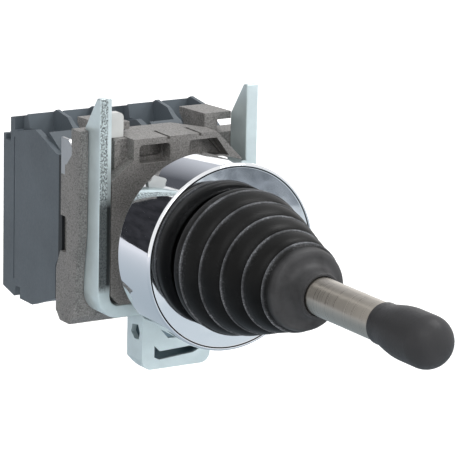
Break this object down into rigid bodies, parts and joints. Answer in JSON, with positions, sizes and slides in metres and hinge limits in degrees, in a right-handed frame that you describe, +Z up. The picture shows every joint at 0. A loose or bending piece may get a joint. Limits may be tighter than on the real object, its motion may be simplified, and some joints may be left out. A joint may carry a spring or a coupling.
{
  "type": "industrial joystick",
  "caption": "Panel-mounted industrial joystick with a bellows-sealed lever on a gimbal, chrome bezel, die-cast clamping body, steel bracket and rear contact blocks.",
  "frame": {"origin": "on the lever's axis, in the plane of the panel's front face", "axes": "+Y into the panel, +Z up, +X to the operator's right; the lever stands along -Y"},
  "size_m": [0.048, 0.1553, 0.0672],
  "materials": {
    "chrome": "polished",
    "zamak": "die-cast, slightly grainy",
    "zinc_plate": "zinc plated sheet",
    "satin_steel": "satin",
    "spring_steel": "bright spring steel",
    "black_plastic": "satin",
    "slate_plastic": "satin",
    "black_rubber": "matt",
    "contact_metal": "silver-tipped brass",
    "pale_plastic": "satin",
    "green_plastic": "satin"
  },
  "bodies": {
    "housing": {"bezel_ring": "chrome", "head_body": "black_plastic", "panel_gasket": "black_rubber", "bellows": "black_rubber", "return_spring": "spring_steel", "body_casting": "zamak", "mounting_bracket": "zinc_plate", "clamp_stirrup": "zinc_plate", "clamp_screws": "zinc_plate", "left_collar": "zamak", "right_collar": "zamak", "left_collar_clip": "spring_steel", "right_collar_clip": "spring_steel", "fixed_contacts": "contact_metal", "terminal_clamps": "zinc_plate", "terminal_screws": "zinc_plate", "leg_stop": "pale_plastic", "up_contact_block": "slate_plastic", "up_plunger_spring": "spring_steel", "left_contact_block": "slate_plastic", "left_plunger_spring": "spring_steel", "right_contact_block": "slate_plastic", "right_plunger_spring": "spring_steel", "down_contact_block": "slate_plastic", "down_plunger_spring": "spring_steel"},
    "gimbal": {"gimbal_ring": "satin_steel", "gimbal_pins": "satin_steel"},
    "lever": {"lever_rod": "satin_steel", "lever_pin": "satin_steel", "rocker_plate": "satin_steel", "spring_seat": "satin_steel", "knob": "black_plastic"},
    "up_switch_train": {"up_pusher": "black_plastic", "up_plunger": "green_plastic", "up_contact_bridge": "contact_metal"},
    "left_switch_train": {"left_pusher": "black_plastic", "left_plunger": "green_plastic", "left_contact_bridge": "contact_metal"},
    "right_switch_train": {"right_pusher": "black_plastic", "right_plunger": "green_plastic", "right_contact_bridge": "contact_metal"},
    "down_switch_train": {"down_pusher": "black_plastic", "down_plunger": "green_plastic", "down_contact_bridge": "contact_metal"}
  },
  "joints": [
    {"name": "tilt_vertical", "type": "hinge", "parent": "housing", "child": "gimbal", "pos_m": [0, 0.002, 0], "axis": [1, 0, 0], "range_deg": [-15, 15], "stiffness_Nm_per_rad": 2, "deforming": ["bellows", "return_spring"]},
    {"name": "tilt_horizontal", "type": "hinge", "parent": "gimbal", "child": "lever", "pos_m": [0, 0.002, 0], "axis": [0, 0, 1], "range_deg": [-15, 15], "stiffness_Nm_per_rad": 2, "deforming": ["bellows", "return_spring"]},
    {"name": "up_push", "type": "slide", "parent": "housing", "child": "up_switch_train", "axis": [0, 1, 0], "range_m": [-0.00162, 0.00162], "deforming": ["up_plunger_spring"]},
    {"name": "down_push", "type": "slide", "parent": "housing", "child": "down_switch_train", "axis": [0, 1, 0], "range_m": [-0.00162, 0.00162], "deforming": ["down_plunger_spring"]},
    {"name": "left_push", "type": "slide", "parent": "housing", "child": "left_switch_train", "axis": [0, 1, 0], "range_m": [-0.00162, 0.00162], "deforming": ["left_plunger_spring"]},
    {"name": "right_push", "type": "slide", "parent": "housing", "child": "right_switch_train", "axis": [0, 1, 0], "range_m": [-0.00162, 0.00162], "deforming": ["right_plunger_spring"]}
  ],
  "couplings": [
    {"joint": "up_push", "follows": "tilt_vertical", "m_per_rad": -0.0061409},
    {"joint": "down_push", "follows": "tilt_vertical", "m_per_rad": 0.0061409},
    {"joint": "left_push", "follows": "tilt_horizontal", "m_per_rad": -0.0061409},
    {"joint": "right_push", "follows": "tilt_horizontal", "m_per_rad": 0.0061409}
  ]
}
